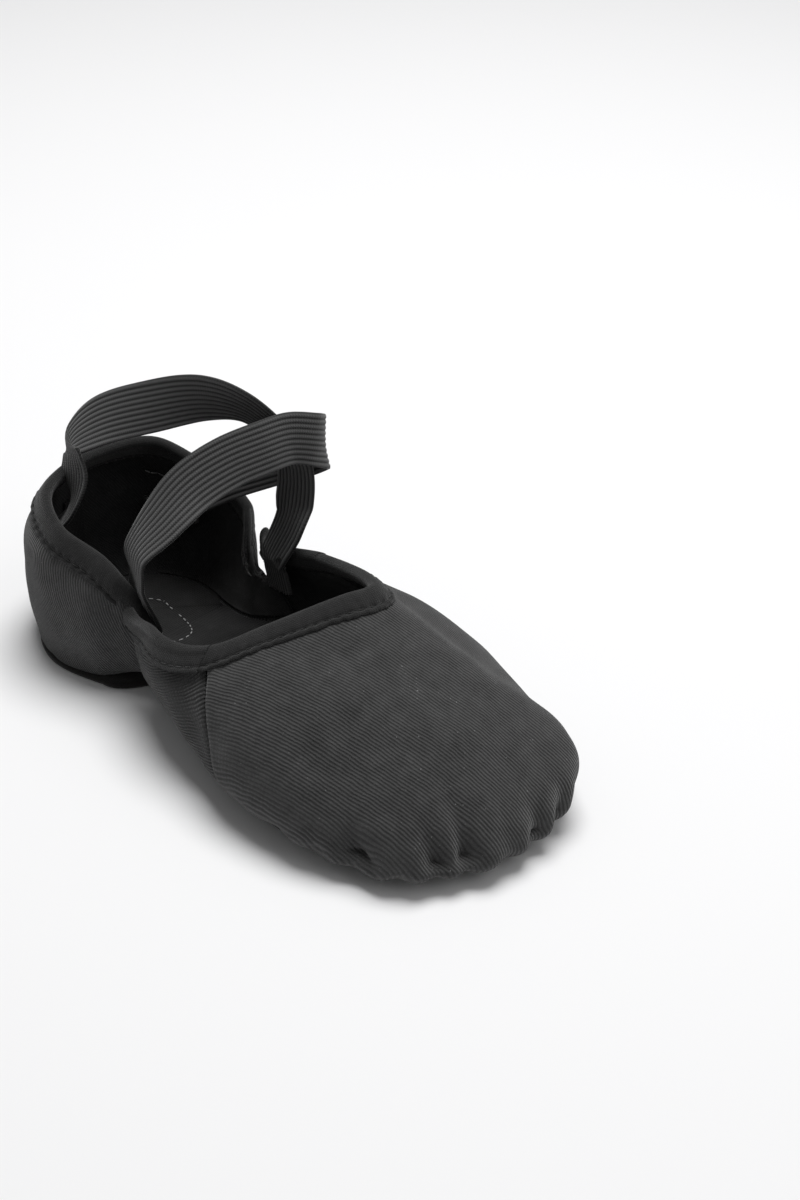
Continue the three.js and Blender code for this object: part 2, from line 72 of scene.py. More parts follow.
# ---- The last: the same net of meridians as the CAD model ---------------------------------------
# Each meridian has a point on the sole edge, widest line, middle, shoulder and topline.
MERIDIANS = np.array([
    [[-91, -5, 2.6], [-98, -5, 12], [-99, -5, 28], [-96, -5, 43], [-88, -5, 54]],
    [[-84, -25, 2.6], [-89, -28, 12], [-90, -28, 28], [-88, -28, 42], [-81, -26, 53]],
    [[-68, -34, 2.6], [-70, -38, 12], [-71, -39, 27], [-70, -38, 40], [-65, -34, 49]],
    [[-50, -31, 2.6], [-50, -36, 12], [-50, -38, 26], [-50, -36, 36], [-48, -31, 44]],
    [[-36, -24, 6], [-35, -28, 13], [-35, -30, 23], [-34, -30, 31], [-33, -31, 38]],
    [[-20, -27, 8.5], [-20, -34, 13], [-17, -39, 22], [-14, -40, 30], [-12, -38, 37]],
    [[6, -34, 6], [6, -43, 13], [7, -45, 23], [6, -42, 32], [4, -34, 40]],
    [[34, -40, 2.8], [35, -48, 11], [34, -47, 23], [27, -38, 36], [14, -20, 46]],
    [[62, -37, 2.6], [66, -44, 9], [61, -41, 22], [47, -26, 37], [21, -6, 50]],
    [[80, -24, 2.6], [90, -29, 8], [82, -27, 21], [61, -14, 36], [25, 2, 52]],
    [[88, 2, 2.6], [99, 3, 8], [92, 3, 20], [68, 3, 35], [27, 9, 52]],
    [[83, 23, 2.6], [92, 28, 10], [89, 29, 22], [64, 20, 36], [25, 14, 51]],
    [[65, 35, 2.6], [71, 41, 12], [67, 37, 22.5], [50, 26, 35], [18, 18, 49]],
    [[37, 39, 2.8], [38, 45, 12], [38, 43, 23.5], [31, 34, 36], [8, 21, 46]],
    [[6, 32, 6], [6, 39, 13], [6, 39, 23], [3, 33, 32], [-7, 23, 42]],
    [[-20, 25, 8.5], [-20, 29, 13], [-22, 29, 22], [-24, 26, 30], [-25, 22.5, 37]],
    [[-36, 20, 6], [-36, 23, 13], [-37, 25, 23], [-37, 26, 31], [-38, 27, 38]],
    [[-50, 23, 2.6], [-51, 28, 12], [-52, 30, 26], [-52, 30, 36], [-52, 28, 44]],
    [[-68, 25, 2.6], [-71, 31, 12], [-72, 33, 27], [-72, 32, 40], [-70, 26, 49]],
    [[-84, 15, 2.6], [-91, 19, 12], [-92, 20, 28], [-91, 20, 42], [-84, 18, 53]],
], float)
TURNS = len(MERIDIANS)
TOE = TURNS / 2
TOP = 5.0
TURN_UNDER = 10.0
TURN_DROP = 0.7
FOLD_DIP, FOLD_PLACE, FOLD_SPREAD = 5.0, 4.1, 0.42  # the topline sags where the heel folds in
FOLD_FOOT = 3.2  # height at which that sag has faded out


def smooth(x, low, high):
    """0 below low, 1 above high."""
    t = np.clip((np.asarray(x, float) - low) / (high - low), 0, 1)
    return t * t * (3 - 2 * t)


def swell(x, centre, spread):
    """1 at the centre, fading out smoothly to both sides."""
    return np.exp(-(((x - centre) / spread) ** 2))


def spline(p0, p1, p2, p3, t):
    """Catmull-Rom between p1 and p2."""
    t = np.asarray(t)[..., None]
    return 0.5 * (2 * p1 + (p2 - p0) * t + (2 * p0 - 5 * p1 + 4 * p2 - p3) * t**2
                  + (3 * p1 - p0 - 3 * p2 + p3) * t**3)


def round_ring(ring, u):
    i = np.floor(u).astype(int)
    at = [ring[(i + k) % TURNS] for k in (-1, 0, 1, 2)]
    return spline(*at, u - i)


def inward(ring, u):
    step = round_ring(ring, u + 0.02) - round_ring(ring, u - 0.02)
    flat = np.stack([-step[..., 1], step[..., 0], 0 * step[..., 0]], -1)
    return flat / np.linalg.norm(flat, axis=-1, keepdims=True)


def make_rings():
    sole = MERIDIANS[:, 0]
    turned = sole + inward(sole, np.arange(TURNS, dtype=float)) * TURN_UNDER
    turned[:, 2] -= TURN_DROP
    rings = [turned] + [MERIDIANS[:, k] for k in range(5)]
    before = 2 * rings[0] - rings[1]
    after = 2 * rings[-1] - rings[-2]
    return np.stack([before, *rings, after])


RINGS = make_rings()
SOLE_RING = MERIDIANS[:, 0]


def side_of(u):
    """u folded so that both sides read like the outer side."""
    w = np.asarray(u) % TURNS
    return np.where(w > TOE, TURNS - w, w)


def surface(u, v):
    """Point on the outer face of the canvas. v: 0 turned-under edge, 1 sole edge, 5 topline."""
    u, v = np.broadcast_arrays(np.asarray(u, float), np.asarray(v, float))
    lines = np.stack([round_ring(ring, u) for ring in RINGS])
    i = np.clip(np.floor(v).astype(int), 0, 4)
    near = [np.take_along_axis(lines, (i + k)[None, ..., None], 0)[0] for k in range(4)]
    points = spline(*near, v - i)
    points[..., 2] -= FOLD_DIP * swell(side_of(u), FOLD_PLACE, FOLD_SPREAD) * smooth(v, FOLD_FOOT, TOP)
    return points


def outward(u, v):
    """The outward normal of the canvas."""
    e = 0.02
    low, high = np.maximum(np.asarray(v) - e, 0), np.minimum(np.asarray(v) + e, TOP)
    n = np.cross(surface(u + e, v) - surface(u - e, v), surface(u, high) - surface(u, low))
    return n / np.linalg.norm(n, axis=-1, keepdims=True)


def across(u, v):
    """Millimetres per unit of u."""
    return np.linalg.norm(surface(u + 0.02, v) - surface(u - 0.02, v), axis=-1) / 0.04


def soft_noise(points, size, seed):
    """Smooth noise of about -1 to 1 at points, with dents of the given size."""
    flat = (points / size + seed * 7.31).reshape(-1, 3)
    values = np.array([noise.noise(Vector(p)) for p in flat])
    return values.reshape(points.shape[:-1])


# ---- Seams: where they meet the topline, and how far they slant forwards for each unit of v -------
JOIN = 0.008
VAMP_SEAM, VAMP_SLANT = 6.05, 0.18
FOLD, FOLD_SLANT = 4.0, 0.165


def vamp_seam(v):
    return VAMP_SEAM + (TOP - v) * VAMP_SLANT


def quarter_seam(v):
    return FOLD + (TOP - v) * FOLD_SLANT


# ---- Relief of the cloth, positive outwards -----------------------------------------------------
# Pleats gathered under the toe: place round the slipper, depth, half width, height of the hollow.
PLEATS = [
    (7.35, 1.2, 0.13, 1.7), (7.80, 2.0, 0.14, 1.9), (8.22, 5.4, 0.17, 2.15), (8.68, 1.8, 0.11, 1.8),
    (9.05, 5.2, 0.13, 2.3), (9.32, 5.4, 0.09, 2.35), (9.70, 2.2, 0.11, 1.9), (10.02, 4.4, 0.12, 2.1),
    (10.40, 5.0, 0.12, 2.0), (10.78, 3.0, 0.12, 1.8), (11.20, 4.6, 0.15, 2.0), (11.70, 2.6, 0.14, 1.8),
    (12.25, 1.6, 0.14, 1.7),
]
PLEAT_LEAN = 0.03  # how far a pleat leans for each unit of v
HOLLOW_SHARE, HOLLOW_ABOVE, HOLLOW_BELOW = 0.75, 0.62, 0.30  # its share of the depth, its fade up and down
CREASE_SHARE = 0.35  # share of the depth that goes on under the hollow, down to the sole
TOE_PUFF, HEEL_PUFF = 1.6, 2.6
HEEL_PLEATS = [(u, 0.7, 0.12, 1.5) for u in (0.0, 0.7, 1.35, 2.0, 18.0, 18.65, 19.3)]
# Dents (below 0) and swellings of the vamp: place round the slipper, height, both spreads, rise.
VAMP_DENTS = [(8.3, 2.9, 0.8, 0.8, -1.6), (11.4, 2.6, 0.8, 0.9, -0.4), (9.7, 3.0, 0.6, 0.8, 0.9)]
WAVES = [(1.3, 26, 1), (0.45, 11, 2)]  # long soft dents all over: height, size and seed


def pleats(u, v):
    total = np.zeros(np.broadcast(u, v).shape)
    for centre, depth, width, height in PLEATS:
        valley = swell(u - PLEAT_LEAN * (v - 1), centre, width)
        # a hollow over the hem, steep at its lower edge and fading out upwards, and a crease below it
        hollow = np.where(v > height, swell(v, height, HOLLOW_ABOVE), swell(v, height, HOLLOW_BELOW))
        crease = (1 - smooth(v, height - 0.2, height + 0.3)) * smooth(v, 0.1, 0.7)
        total -= depth * valley * (HOLLOW_SHARE * hollow + CREASE_SHARE * crease)
    puff = smooth(u, 7.3, 8.3) * (1 - smooth(u, 11.7, 12.8))
    total += TOE_PUFF * puff * swell(v, 1.55, 0.45)
    around = (u + TOE) % TURNS - TOE
    # the heel's cloth runs down to the edge of its patch before it turns under
    total += HEEL_PUFF * (1 - smooth(np.abs(around), 2.3, 3.6)) * swell(v, 1.0, 0.42)
    for centre, depth, width, height in HEEL_PLEATS:
        place = (centre + TOE) % TURNS - TOE
        total -= depth * swell(around, place, width) * (1 - smooth(v, 0.7, height))
    return total


def relief(u, v):
    """How far the cloth stands off the last."""
    u, v = np.broadcast_arrays(np.asarray(u, float), np.asarray(v, float))
    w = side_of(u)
    total = pleats(u, v)
    # the vamp's seam: a shallow valley with the vamp standing a little proud of the arch panel
    gap = (w - vamp_seam(v)) * across(u, v)
    total += np.where(gap > 0, 0.5 * swell(gap, 2.6, 2.4) - 0.6 * swell(gap, 0, 0.8), 0)
    total -= 0.5 * swell(gap, 0, 1.1)
    total -= 1.3 * swell(gap, -7, 8) * smooth(v, 1.5, 2.6) * (1 - smooth(v, 4.3, 4.9))
    vamp = smooth(w, 6.4, 7.2)
    for place, height, spread, spread_up, rise in VAMP_DENTS:
        total += rise * vamp * swell(u, place, spread) * swell(v, height, spread_up)
    fade = 1 - smooth(v, 4.2, 4.9)
    points = surface(u, v)
    for rise, size, seed in WAVES:
        total += rise * soft_noise(points, size, seed) * fade
    return total


# The fold at the waist. Distances are in millimetres past the fold, towards the toe.
SINK_TOP, SINK_LOW = 4.4, 3.3  # how deep the heel quarter dives, at the topline and low down
SINK_REACH = (-11, -0.5)
RELEASE, RELEASE_REACH = 0.9, (2.6, 5.0)  # its free edge comes back a little
HEEL_DROP, DROP_REACH, DROP_FOOT = 9.0, (-10, 4), 2.4
FLARE, FLARE_REACH, FLARE_FOOT = 1.6, 14, 2.5  # how far the arch panel's corner stands off
PAST_FOLD = 5.0  # how far the heel quarter goes on inside the arch panel
CURL = 0.95


def fold_sink(ds, v):
    """How far the heel quarter's front edge dives behind the arch panel, ds millimetres past the fold."""
    deep = SINK_LOW + (SINK_TOP - SINK_LOW) * smooth(v, 3.6, 4.8)
    return deep * smooth(ds, *SINK_REACH) - RELEASE * smooth(ds, *RELEASE_REACH)


def fold_drop(ds, v):
    """How far the heel quarter's top goes down as it passes inside the arch panel's corner."""
    return HEEL_DROP * smooth(ds, *DROP_REACH) * smooth(v, DROP_FOOT, TOP)


def arch_flare(ds, v):
    """How far the arch panel's rear corner stands away from the heel that folds in behind it."""
    return FLARE * (1 - smooth(ds, 0, FLARE_REACH)) * smooth(v, FLARE_FOOT, TOP)


# ---- Meshes -------------------------------------------------------------------------------------
def volume_sign(points, faces):
    tris = np.array([[f[0], f[k], f[k + 1]] for f in faces for k in range(1, len(f) - 1)])
    a, b, c = (points[tris[:, k]] for k in range(3))
    return np.sign(np.einsum("ij,ij->i", a, np.cross(b, c)).sum())


def make(name, points, faces, uv, material, sharp=55):
    """A mesh object from points in millimetres, with cloth coordinates in metres as its UV map."""
    points = np.asarray(points, float)
    if volume_sign(points, faces) < 0:
        faces = [tuple(reversed(f)) for f in faces]
    mesh = bpy.data.meshes.new(name)
    mesh.from_pydata(((points + LAST_OFFSET) * MM).tolist(), [], faces)
    layer = mesh.uv_layers.new(name="Cloth")
    corner = np.zeros(len(mesh.loops), np.int32)
    mesh.loops.foreach_get("vertex_index", corner)
    layer.data.foreach_set("uv", (np.asarray(uv)[corner] * MM).astype(np.float32).ravel())
    mesh.shade_smooth()
    mesh.set_sharp_from_angle(angle=math.radians(sharp))
    mesh.materials.append(material)
    obj = bpy.data.objects.new(name, mesh)
    bpy.context.scene.collection.objects.link(obj)
    return obj


def grid_faces(n, m, start=0, close_rows=False, close_cols=False):
    rows = n if close_rows else n - 1
    cols = m if close_cols else m - 1

    def at(i, j):
        return start + (i % n) * m + (j % m)

    return [(at(i, j), at(i + 1, j), at(i + 1, j + 1), at(i, j + 1))
            for i in range(rows) for j in range(cols)]


def grid_normals(grid):
    n = np.cross(np.gradient(grid, axis=0), np.gradient(grid, axis=1))
    return n / np.maximum(np.linalg.norm(n, axis=-1, keepdims=True), 1e-9)


def shell(name, outer, thickness, uv, material, away):
    """A sheet of cloth: an outer grid of points, thickened away from the side that away points to."""
    n, m = outer.shape[:2]
    normals = grid_normals(outer)
    normals *= np.sign((normals * away).sum(-1, keepdims=True).mean())
    inner = outer - normals * thickness
    count = n * m
    faces = grid_faces(n, m)
    faces += [tuple(count + k for k in reversed(f)) for f in grid_faces(n, m)]
    edge = [(i, 0) for i in range(n)] + [(n - 1, j) for j in range(1, m)]
    edge += [(i, m - 1) for i in range(n - 2, -1, -1)] + [(0, j) for j in range(m - 2, 0, -1)]
    ids = [i * m + j for i, j in edge]
    for a, b in zip(ids, ids[1:] + ids[:1]):
        faces.append((b, a, count + a, count + b))
    points = np.concatenate([outer.reshape(-1, 3), inner.reshape(-1, 3)])
    flat = uv.reshape(-1, 2)
    return make(name, points, faces, np.concatenate([flat, flat]), material)


def sweep(name, sections, uv, material, sharp=55):
    """A closed section moved through stations, with capped ends. sections is stations x points x 3."""
    n, m = sections.shape[:2]
    faces = grid_faces(n, m, close_cols=True)
    faces += [tuple(range(m))[::-1], tuple((n - 1) * m + k for k in range(m))]
    return make(name, sections.reshape(-1, 3), faces, uv.reshape(-1, 2), material, sharp)


def lengths(line):
    steps = np.linalg.norm(np.diff(line, axis=0), axis=-1)
    return np.concatenate([[0], np.cumsum(steps)])


def turned(uv, degrees):
    """Cloth coordinates turned so that the second one runs across the twill ribs."""
    a = math.radians(degrees)
    x, y = uv[..., 0], uv[..., 1]
    return np.stack([x * math.cos(a) + y * math.sin(a), -x * math.sin(a) + y * math.cos(a)], -1)


# ---- Materials ----------------------------------------------------------------------------------
class Nodes:
    """Short calls for building one material."""

    def __init__(self, name, roughness, sheen, sheen_roughness=0.4, specular=0.25):
        self.material = bpy.data.materials.new(name)
        self.material.use_nodes = True
        self.tree = self.material.node_tree
        self.shader = self.tree.nodes["Principled BSDF"]
        self.shader.inputs["Roughness"].default_value = roughness
        self.shader.inputs["Sheen Weight"].default_value = sheen
        self.shader.inputs["Sheen Roughness"].default_value = sheen_roughness
        self.shader.inputs["Specular IOR Level"].default_value = specular
        uv = self.new("ShaderNodeUVMap")
        uv.uv_map = "Cloth"
        self.uv = uv.outputs[0]
        split = self.new("ShaderNodeSeparateXYZ")
        self.link(self.uv, split.inputs[0])
        self.along, self.over = split.outputs[0], split.outputs[1]
        self.place = self.new("ShaderNodeTexCoord").outputs["Object"]

    def new(self, kind, **settings):
        node = self.tree.nodes.new(kind)
        for key, value in settings.items():
            setattr(node, key, value)
        return node

    def link(self, a, b):
        self.tree.links.new(a, b)

    def math(self, operation, *values):
        node = self.new("ShaderNodeMath", operation=operation)
        for socket, value in zip(node.inputs, values):
            if isinstance(value, (int, float)):
                socket.default_value = value
            else:
                self.link(value, socket)
        return node.outputs[0]

    def noise(self, vector, size, detail=2.0, roughness=0.5):
        node = self.new("ShaderNodeTexNoise")
        node.inputs["Scale"].default_value = 1 / (size * MM)
        node.inputs["Detail"].default_value = detail
        node.inputs["Roughness"].default_value = roughness
        self.link(vector, node.inputs["Vector"])
        return node.outputs["Fac"]

    def wave(self, value, pitch, shift=0.0):
        """0 to 1 and back once per pitch, in millimetres."""
        turn = self.math("MULTIPLY", value, 2 * math.pi / (pitch * MM))
        if not isinstance(shift, float) or shift:
            turn = self.math("ADD", turn, shift)
        return self.math("MULTIPLY_ADD", self.math("SINE", turn), 0.5, 0.5)

    def blend(self, factor, a, b):
        node = self.new("ShaderNodeMix", data_type="RGBA")
        self.link(factor, node.inputs["Factor"])
        for socket, value in ((node.inputs[6], a), (node.inputs[7], b)):
            if isinstance(value, tuple):
                socket.default_value = (*value, 1)
            else:
                self.link(value, socket)
        return node.outputs[2]

    def finish(self, colour, height, depth, strength=1.0):
        self.link(colour, self.shader.inputs["Base Color"])
        bump = self.new("ShaderNodeBump")
        bump.inputs["Strength"].default_value = strength
        bump.inputs["Distance"].default_value = depth * MM
        self.link(height, bump.inputs["Height"])
        self.link(bump.outputs[0], self.shader.inputs["Normal"])
        return self.material


def grey(value, warmth=0.0):
    return (value * (1 + warmth), value, value * (1 - warmth))


def twill(name, dark, light, pitch, depth, sheen=0.2, speck=0.0):
    """Twill: slanted ribs, each a row of short floats, with fibre mottling and a little lint."""
    m = Nodes(name, 0.93, sheen, 0.5, 0.15)
    wobble = m.math("MULTIPLY_ADD", m.noise(m.uv, 5.0, 3), pitch * 0.9 * MM, m.over)
    rib = m.wave(wobble, pitch)
    step = m.math("FLOOR", m.math("DIVIDE", wobble, pitch * MM))
    floats = m.wave(m.along, pitch * 1.4, m.math("MULTIPLY", step, 2.1))
    fine = m.noise(m.place, 0.3, 3, 0.7)
    blotch = m.noise(m.place, 7.0, 5, 0.7)
    height = m.math("MULTIPLY_ADD", floats, m.math("MULTIPLY", rib, 0.28), rib)
    height = m.math("MULTIPLY_ADD", fine, 0.5, height)
    tone = m.math("MULTIPLY_ADD", rib, 0.36, m.math("MULTIPLY", fine, 0.9))
    tone = m.math("MULTIPLY_ADD", blotch, 0.9, m.math("SUBTRACT", tone, 0.55))
    colour = m.blend(tone, dark, light)
    if speck:
        lint = m.new("ShaderNodeMapRange")
        m.link(m.noise(m.place, 0.75, 1), lint.inputs["Value"])
        lint.inputs["From Min"].default_value = 0.77
        lint.inputs["From Max"].default_value = 0.80
        lint.inputs["To Max"].default_value = speck
        colour = m.blend(lint.outputs[0], colour, grey(0.32))
    return m.finish(colour, height, depth)


def tape(name, dark, light, depth):
    """Folded cotton tape: a fine plain weave under short fuzz."""
    m = Nodes(name, 0.95, 0.2, 0.5, 0.12)
    weave = m.math("MULTIPLY", m.wave(m.along, 0.62), m.wave(m.over, 0.62))
    fuzz = m.noise(m.place, 0.55, 4, 0.7)
    blotch = m.noise(m.place, 4.0, 3, 0.6)
    tone = m.math("MULTIPLY_ADD", blotch, 0.8, m.math("MULTIPLY_ADD", fuzz, 0.7, -0.3))
    height = m.math("MULTIPLY_ADD", fuzz, 1.4, m.math("MULTIPLY", weave, 0.5))
    return m.finish(m.blend(tone, dark, light), height, depth)


def ribbed(name, dark, light):
    """Elastic: the ribs are in the mesh; this adds the knit across each rib and painted shade that darkens
    the grooves between them.
    """
    m = Nodes(name, 0.72, 0.3, 0.35, 0.3)
    rib = m.wave(m.over, ELASTIC_WIDTH / ELASTIC_RIBS, -math.pi / 2)
    knit = m.wave(m.along, 0.7, m.math("MULTIPLY", m.wave(m.over, 0.8), 2.4))
    fuzz = m.noise(m.place, 0.4, 3, 0.6)
    height = m.math("MULTIPLY_ADD", knit, 0.6, m.math("MULTIPLY", fuzz, 0.6))
    # painted shade: the colour is lighter on the ribs' crests and darker in the grooves between them
    tone = m.math("MULTIPLY_ADD", knit, 0.22, m.math("MULTIPLY", m.math("POWER", rib, 0.8), 0.75))
    tone = m.math("MULTIPLY_ADD", fuzz, 0.3, m.math("SUBTRACT", tone, 0.12))
    return m.finish(m.blend(tone, dark, light), height, 0.12)


def suede(name):
    m = Nodes(name, 0.88, 0.25, 0.5, 0.2)
    nap = m.noise(m.place, 0.5, 5, 0.7)
    worn = m.noise(m.place, 9.0, 3)
    tone = m.math("MULTIPLY_ADD", worn, 0.8, m.math("MULTIPLY_ADD", nap, 0.6, -0.25))
    return m.finish(m.blend(tone, grey(0.008, 0.05), grey(0.03, 0.06)), nap, 0.25)


def spun(name, dark, light):
    m = Nodes(name, 0.7, 0.3, 0.4, 0.3)
    twist = m.wave(m.math("ADD", m.along, m.over), 0.45)
    fuzz = m.noise(m.place, 0.3, 2)
    tone = m.math("MULTIPLY_ADD", twist, 0.6, m.math("MULTIPLY", fuzz, 0.5))
    return m.finish(m.blend(tone, dark, light), twist, 0.06)


def satin(name):
    m = Nodes(name, 0.38, 0.4, 0.3, 0.5)
    threads = m.math("MULTIPLY_ADD", m.wave(m.over, 0.35), 0.6, m.math("MULTIPLY", m.wave(m.along, 1.1), 0.4))
    blotch = m.noise(m.place, 3.0, 3)
    tone = m.math("MULTIPLY_ADD", threads, 0.35, m.math("MULTIPLY", blotch, 0.6))
    return m.finish(m.blend(tone, grey(0.58), grey(0.84)), threads, 0.03)


canvas_cloth = twill("canvas_twill", grey(0.010), grey(0.080), TWILL_PITCH, 0.2, speck=0.5)
# painted shade: the canvas twill at a darker tone for the arch panels, which face down and away from the
# light; its slightly coarser ribs and fewer lint specks are the panel's own
arch_cloth_painted_shade = twill("arch_twill_painted_shade", grey(0.006), grey(0.048), 1.05, 0.22, speck=0.3)
lining_cloth = twill("lining_twill", grey(0.017), grey(0.070), 0.8, 0.10, sheen=0.1)
# painted shade: the lining twill at a darker tone for the socks, which lie at the bottom of the inside
sock_cloth = twill("sock_twill_painted_shade", grey(0.007), grey(0.034), 0.8, 0.12, sheen=0.1)
binding_tape = tape("binding_tape", grey(0.007), grey(0.030), 0.2)
elastic_band = ribbed("ribbed_elastic", grey(0.005), grey(0.115))
cord_braid = ribbed("cord_braid", grey(0.01), grey(0.05))
sole_suede = suede("sole_suede")
dark_thread = spun("dark_thread", grey(0.008), grey(0.028))
pale_thread = spun("pale_thread", grey(0.22), grey(0.55))
label_satin = satin("label_satin")


def bends(obj, slot, *nodes):
    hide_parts(*nodes)
    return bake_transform(obj)


def rides(obj, body, slot, *nodes):
    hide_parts(*nodes)
    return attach(obj, body)


# ---- Panels of the upper ------------------------------------------------------------------------
LINING_RELIEF = 0.75  # share of the canvas's relief that its lining follows
CREST = 4.45  # height of the middle of the vamp's top
LINING_START = 4.4  # where the arch lining starts, past the fold


def vamp_cloth(points):
    """Cloth coordinates of the vamp, rolled out flat from the middle of its top."""
    middle, away = surface(TOE, CREST), outward(TOE, CREST)
    forward = np.cross([0.0, 1.0, 0.0], away)
    forward /= np.linalg.norm(forward)
    d = points - middle
    flat = np.stack([d @ forward, d @ np.cross(away, forward)], -1)
    reach = np.linalg.norm(flat, axis=-1, keepdims=True)
    return flat / np.maximum(reach, 1e-6) * np.linalg.norm(d, axis=-1, keepdims=True)


def side_cloth(u, v):
    """Cloth coordinates of a side panel: along its middle height and up its middle meridian."""
    whole = np.linspace(-1, TURNS + 1, 880)
    heights = np.linspace(0, TOP, 60)
    along = np.interp(u, whole, lengths(surface(whole, np.full(len(whole), 2.6))))
    up = np.interp(v, heights, lengths(surface(np.full(len(heights), float(np.mean(u))), heights)))
    return np.stack([along, up], -1)


def build_vamp():
    for name, node, low, depth, thickness, slot, material, turn in (
            ("vamp_cloth", "vamp_canvas", 0.0, 0.0, CANVAS, "canvas", canvas_cloth, 16),
            ("vamp_lining_cloth", "vamp_lining", 1.0, CANVAS + PLY_GAP, LINING, "lining", lining_cloth, 60)):
        v = np.linspace(low, TOP, 130)[None, :] * np.ones((420, 1))
        share = np.linspace(0, 1, 420)[:, None]
        first = vamp_seam(v) + JOIN
        u = first * (1 - share) + (TURNS - first) * share
        calm = 1.0 if depth == 0 else LINING_RELIEF
        away = outward(u, v)
        outer = surface(u, v) + away * (relief(u, v) * calm - depth)[..., None]
        cloth = shell(name, outer, thickness, turned(vamp_cloth(outer), turn), material, away)
        bends(cloth, slot, node)


def fold_path(count):
    """The arch panel's rear edge, curled round the fold: (millimetres past the fold, offset)."""
    bend = np.linspace(-0.5 * math.pi, 0.5 * math.pi, count)
    curl = np.stack([-np.cos(bend) * 1.3, -0.4 + np.sin(bend) * 1.3], -1)
    return np.concatenate([[[3.2, -1.9]], curl, [[2.0, 1.0], [4.0, CURL]]])


def arch_span(v):
    """From the fold to the vamp's seam: in units of u, and in millimetres."""
    span = vamp_seam(v) - JOIN - quarter_seam(v)
    return span, span * across((vamp_seam(v) + quarter_seam(v)) / 2, v)


def arch_places(ds, v, outer_side):
    """u and v of the points at ds millimetres past the fold."""
    span, width = arch_span(v)
    u = quarter_seam(v) + ds / width * span
    return (u if outer_side else TURNS - u), v * np.ones_like(u)


def build_arch(outer_side):
    side = "outer" if outer_side else "inner"
    turn = 27 if outer_side else -27
    # canvas, from the curled fold to the vamp seam
    v = np.linspace(0, TOP, 110)
    fold = fold_path(9)
    last = fold[-1, 0]
    share = np.linspace(0, 1, 61)[1:]
    flat = last + share[:, None] * (arch_span(v)[1] - last)
    ds = np.concatenate([fold[:, 0][:, None] * np.ones_like(v), flat])
    curl = np.concatenate([fold[:, 1], CURL * (1 - smooth(share, 0, 0.35))])[:, None] * smooth(v, 0.2, 1.6)
    u, v = arch_places(ds, v, outer_side)
    away = outward(u, v)
    outer = surface(u, v) + away * (relief(u, v) * smooth(ds, 0, 6) + curl + arch_flare(ds, v))[..., None]
    # the arch panel gets the darker twill, whose tone is painted shade
    cloth = shell(f"arch_{side}_cloth", outer, CANVAS, turned(side_cloth(u, v), turn), arch_cloth_painted_shade, away)
    bends(cloth, "canvas", f"arch_panel_{side}")
    # lining
    v = np.linspace(1.0, TOP, 90)
    ds = LINING_START + np.linspace(0, 1, 50)[:, None] * (arch_span(v)[1] - LINING_START)
    u, v = arch_places(ds, v, outer_side)
    away = outward(u, v)
    outer = surface(u, v) + away * (relief(u, v) - CANVAS - PLY_GAP + arch_flare(ds, v))[..., None]
    cloth = shell(f"arch_{side}_lining", outer, LINING, turned(side_cloth(u, v), 45), lining_cloth, away)
    bends(cloth, "lining", f"arch_lining_{side}")


def build_quarter(outer_side):
    side = "outer" if outer_side else "inner"
    turn = -70 if outer_side else 70
    for name, node, low, depth, thickness, slot, material, slant in (
            ("cloth", "quarter", 0.0, 0.0, CANVAS, "canvas", canvas_cloth, turn),
            ("lining", "lining", 1.0, CANVAS + PLY_GAP, LINING, "lining", lining_cloth, 45)):
        v = np.linspace(low, TOP, 110)
        seam = quarter_seam(v)
        reach = seam + PAST_FOLD / across(seam, v)
        share = np.linspace(0, 1, 150)[:, None] ** 0.9
        u = JOIN + share * (reach - JOIN)
        ds = (u - seam) * across(seam, v)
        v = v * np.ones_like(u)
        w = u if outer_side else TURNS - u
        away = outward(w, v)
        lift = relief(w, v) * (1 - smooth(ds, -8, 0)) - fold_sink(ds, v) * smooth(v, 0.1, 1.4) - depth
        lift -= 0.45 * swell(u * across(u, v), 0, 1.2)  # the back seam's valley
        outer = surface(w, v) + away * lift[..., None]
        outer[..., 2] -= fold_drop(ds, v)
        uv = turned(side_cloth(w, v), slant)
        cloth = shell(f"quarter_{side}_{name}", outer, thickness, uv, material, away)
        bends(cloth, slot, f"heel_{node}_{side}")


# ---- Topline ------------------------------------------------------------------------------------
# The folded tape's section: distance below the topline, and how far it stands off the wall.
TAPE_FACE = [(BINDING_DEPTH, 0.30), (6.65, 0.55), (6.3, 0.85), (5.75, 0.95), (5.3, 0.75),
             (BINDING_STITCH, 0.42), (4.3, 0.7), (3.7, 0.95), (2.8, 1.05), (1.6, 1.1), (0.6, 1.1)]
TAPE_INSIDE = [(1.6, 1.1), (3.0, 1.0), (4.2, 0.95), (BINDING_STITCH, 0.7), (5.5, 0.9), (6.1, 0.75),
               (6.2, 0.3)]
TAPE_BACK_INSIDE = [(4.6, 0.3), (2.4, 0.35), (0.0, 0.4)]
TAPE_BACK_FACE = [(2.4, 0.35), (4.6, 0.3)]
ROLL_OUTER, ROLL_INNER = (2.5, 1.0), (2.0, 0.4)  # the roll over the cord: its height and its overhang
CORD_SIDES = 12


